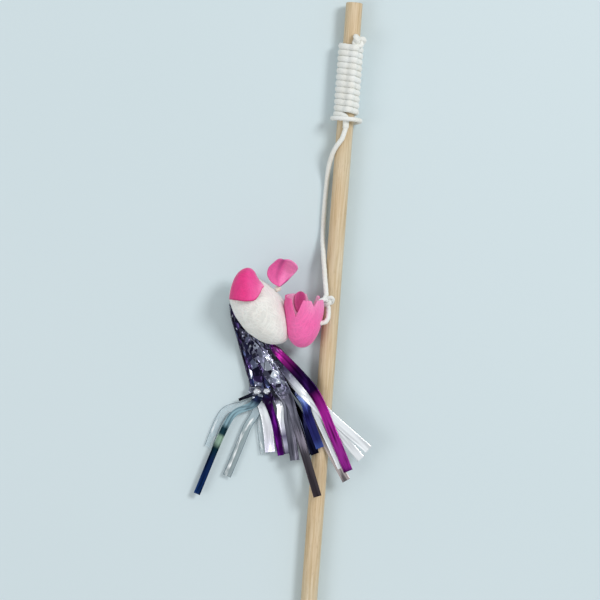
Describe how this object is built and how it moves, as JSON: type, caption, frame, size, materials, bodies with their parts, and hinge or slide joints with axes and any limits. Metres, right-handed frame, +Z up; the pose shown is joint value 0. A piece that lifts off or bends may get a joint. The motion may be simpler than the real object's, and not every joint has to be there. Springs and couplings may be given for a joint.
{
  "type": "cat teaser wand",
  "caption": "Thin wooden wand with a wound cord that ties on a silk cocoon lure with pink petals, an open cup and a fan of foil streamers.",
  "frame": {"origin": "middle of the bounding box's bottom face, on the table the wand lies on", "axes": "+Y along the dowel towards its tip, +Z up from the table, +X to the right of the dowel as seen from above with the tip up"},
  "size_m": [0.0632, 0.4, 0.0197],
  "materials": {
    "wood": "sanded raw softwood",
    "cord": "white twisted cotton cord",
    "silk_ivory": "felted silk cocoon",
    "silk_pink": "dyed silk cocoon",
    "silk_dark_pink": "dyed silk cocoon, inner side",
    "glue": "set glue",
    "foil_silver": "crinkled metallised film",
    "foil_grey": "crinkled metallised film",
    "foil_dark": "crinkled metallised film",
    "foil_navy": "crinkled metallised film",
    "foil_purple": "crinkled metallised film",
    "foil_magenta": "crinkled metallised film",
    "foil_clear": "clear iridescent film"
  },
  "bodies": {
    "wand": {"rod": "wood", "anchor_knot": "cord", "cord_winding": "cord", "locking_turn": "cord"},
    "cord_lead": {"cord_lead": "cord"},
    "cord": {"cord_run": "cord"},
    "lure": {"tie_knot": "cord", "cord_loop": "cord", "cocoon_body": "silk_ivory", "head_cap": "silk_pink", "top_petal": "silk_pink", "petal_glue": "glue", "tail_cup": "silk_pink", "inner_petal": "silk_dark_pink", "streamer_glue": "glue"},
    "streamers": {"streamer_band": "foil_silver", "streamer_navy_long": "foil_navy", "streamer_gunmetal_long": "foil_grey", "streamer_magenta": "foil_magenta", "streamer_purple": "foil_purple", "streamer_gunmetal_wide": "foil_grey", "streamer_silver_outer": "foil_silver", "streamer_silver_wide": "foil_silver", "streamer_silver_thin": "foil_silver", "streamer_silver_inner": "foil_silver", "streamer_grey_clear": "foil_clear", "streamer_slate": "foil_grey", "streamer_navy": "foil_navy", "streamer_clear": "foil_clear", "streamer_blue_black": "foil_dark", "streamer_white_thin": "foil_silver", "streamer_clear_arc": "foil_clear", "streamer_brown_black": "foil_dark", "streamer_brown_grey": "foil_grey"}
  },
  "joints": [
    {"name": "cord_swing", "type": "hinge", "parent": "wand", "child": "cord_lead", "pos_m": [0.01349, 0.154, 0.0087], "axis": [0, 0, -1], "range_deg": [0, 90]},
    {"name": "cord_lift", "type": "hinge", "parent": "cord_lead", "child": "cord", "pos_m": [0.01249, 0.1501, 0.0086], "axis": [-1, 0, 0], "range_deg": [0, 90]},
    {"name": "lure_swing", "type": "hinge", "parent": "cord", "child": "lure", "pos_m": [0.01189, 0.091, 0.0098], "axis": [0, 0, -1], "range_deg": [0, 40]},
    {"name": "streamer_lift", "type": "hinge", "parent": "lure", "child": "streamers", "pos_m": [-0.01521, 0.0809, 0.004], "axis": [-0.8192, 0.5736, 0], "range_deg": [0, 30]}
  ]
}
